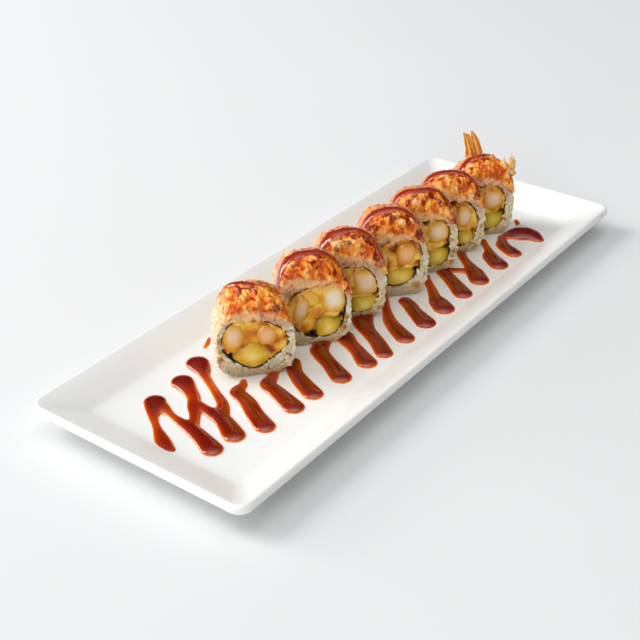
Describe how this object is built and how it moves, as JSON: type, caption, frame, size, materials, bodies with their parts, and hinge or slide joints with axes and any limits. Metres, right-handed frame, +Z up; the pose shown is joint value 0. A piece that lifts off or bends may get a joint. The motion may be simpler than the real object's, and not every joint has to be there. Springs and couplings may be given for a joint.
{
  "type": "cooked sushi roll",
  "caption": "Cooked shrimp roll cut into slices under a browned topping, set in a slanted row on a long white rimmed plate with strokes of dark sauce.",
  "frame": {"origin": "on the table under the middle of the plate", "axes": "+X along the plate's long side towards the last slice, +Y across the plate to the side behind the row, +Z up"},
  "size_m": [0.396, 0.1448, 0.0744],
  "materials": {
    "porcelain": "glossy white glaze",
    "rice": "moist, slightly translucent grains",
    "seaweed": "damp, dull black green",
    "shrimp": "cooked flesh, moist",
    "batter": "golden, rough and oily",
    "avocado": "ripe flesh, satin",
    "topping": "browned, glazed with dark sauce",
    "fried_shell": "fried shell, semi gloss",
    "sauce": "thick red brown syrup, glossy"
  },
  "bodies": {
    "root": {"plate": "porcelain", "slice_1_rice": "rice", "slice_1_nori": "seaweed", "slice_1_shrimp_a": "shrimp", "slice_1_shrimp_b": "shrimp", "slice_1_avocado": "avocado", "slice_1_batter": "batter", "slice_1_topping": "topping", "slice_2_rice": "rice", "slice_2_nori": "seaweed", "slice_2_shrimp_a": "shrimp", "slice_2_shrimp_b": "shrimp", "slice_2_avocado": "avocado", "slice_2_batter": "batter", "slice_2_topping": "topping", "slice_3_rice": "rice", "slice_3_nori": "seaweed", "slice_3_shrimp_a": "shrimp", "slice_3_shrimp_b": "shrimp", "slice_3_avocado": "avocado", "slice_3_batter": "batter", "slice_3_topping": "topping", "slice_4_rice": "rice", "slice_4_nori": "seaweed", "slice_4_shrimp_a": "shrimp", "slice_4_shrimp_b": "shrimp", "slice_4_avocado": "avocado", "slice_4_batter": "batter", "slice_4_topping": "topping", "slice_5_rice": "rice", "slice_5_nori": "seaweed", "slice_5_shrimp_a": "shrimp", "slice_5_shrimp_b": "shrimp", "slice_5_avocado": "avocado", "slice_5_batter": "batter", "slice_5_topping": "topping", "slice_6_rice": "rice", "slice_6_nori": "seaweed", "slice_6_shrimp_a": "shrimp", "slice_6_shrimp_b": "shrimp", "slice_6_avocado": "avocado", "slice_6_batter": "batter", "slice_6_topping": "topping", "slice_7_rice": "rice", "slice_7_nori": "seaweed", "slice_7_shrimp_a": "shrimp", "slice_7_shrimp_b": "shrimp", "slice_7_avocado": "avocado", "slice_7_batter": "batter", "slice_7_topping": "topping", "slice_7_tail": "fried_shell"}
  },
  "joints": []
}
